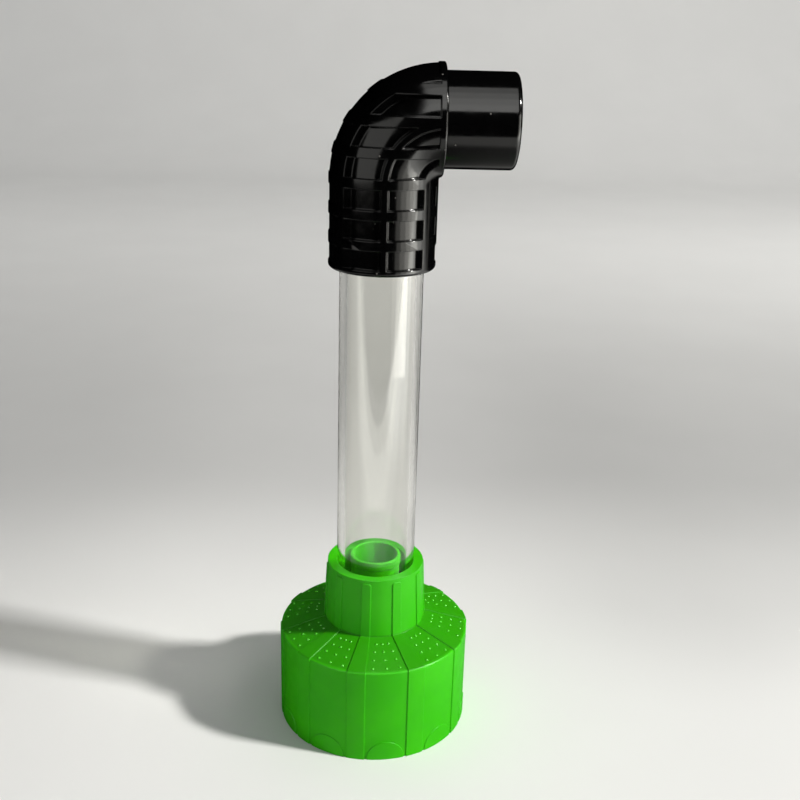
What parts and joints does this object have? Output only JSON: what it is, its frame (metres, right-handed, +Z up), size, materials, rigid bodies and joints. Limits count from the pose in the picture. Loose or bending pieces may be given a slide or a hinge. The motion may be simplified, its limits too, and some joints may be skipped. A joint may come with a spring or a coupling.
{
  "type": "gravel vacuum siphon",
  "caption": "Aquarium gravel cleaner: ribbed bell with a valved riser, clear sight tube, swivel elbow and plain hose spigot.",
  "frame": {"origin": "where the axis of the bell meets the surface that it stands on, at the centre of the bell's mouth", "axes": "+Z up along the sight tube, +X the way that the hose leaves, +Y completes the right hand"},
  "size_m": [0.0875, 0.0794, 0.2699],
  "materials": {
    "green_plastic": "semi-gloss moulded",
    "clear_plastic": "clear polished",
    "black_plastic": "high gloss moulded",
    "seal_rubber": "matte",
    "white_plastic": "smooth moulded"
  },
  "bodies": {
    "bell_group": {"bell": "green_plastic", "riser": "green_plastic", "intake_strainer": "green_plastic", "valve_seat": "white_plastic", "ball_stop": "white_plastic", "collar_seal": "seal_rubber"},
    "ball_group": {"valve_ball": "white_plastic"},
    "tube_group": {"sight_tube": "clear_plastic"},
    "elbow_group": {"elbow": "black_plastic", "elbow_seal": "seal_rubber"},
    "spigot_group": {"hose_spigot": "black_plastic", "spigot_seal": "seal_rubber"}
  },
  "joints": [
    {"name": "tube_pull", "type": "slide", "parent": "bell_group", "child": "tube_group", "axis": [0, 0, 1], "range_m": [0, 0.03]},
    {"name": "elbow_swivel", "type": "hinge", "parent": "tube_group", "child": "elbow_group", "pos_m": [0, 0, 0.205], "axis": [0, 0, 1], "continuous": true},
    {"name": "spigot_swivel", "type": "hinge", "parent": "elbow_group", "child": "spigot_group", "pos_m": [0.0165, 0, 0.2496], "axis": [1, 0, 0], "continuous": true},
    {"name": "ball_lift", "type": "slide", "parent": "bell_group", "child": "ball_group", "axis": [0, 0, 1], "range_m": [0, 0.008]}
  ]
}
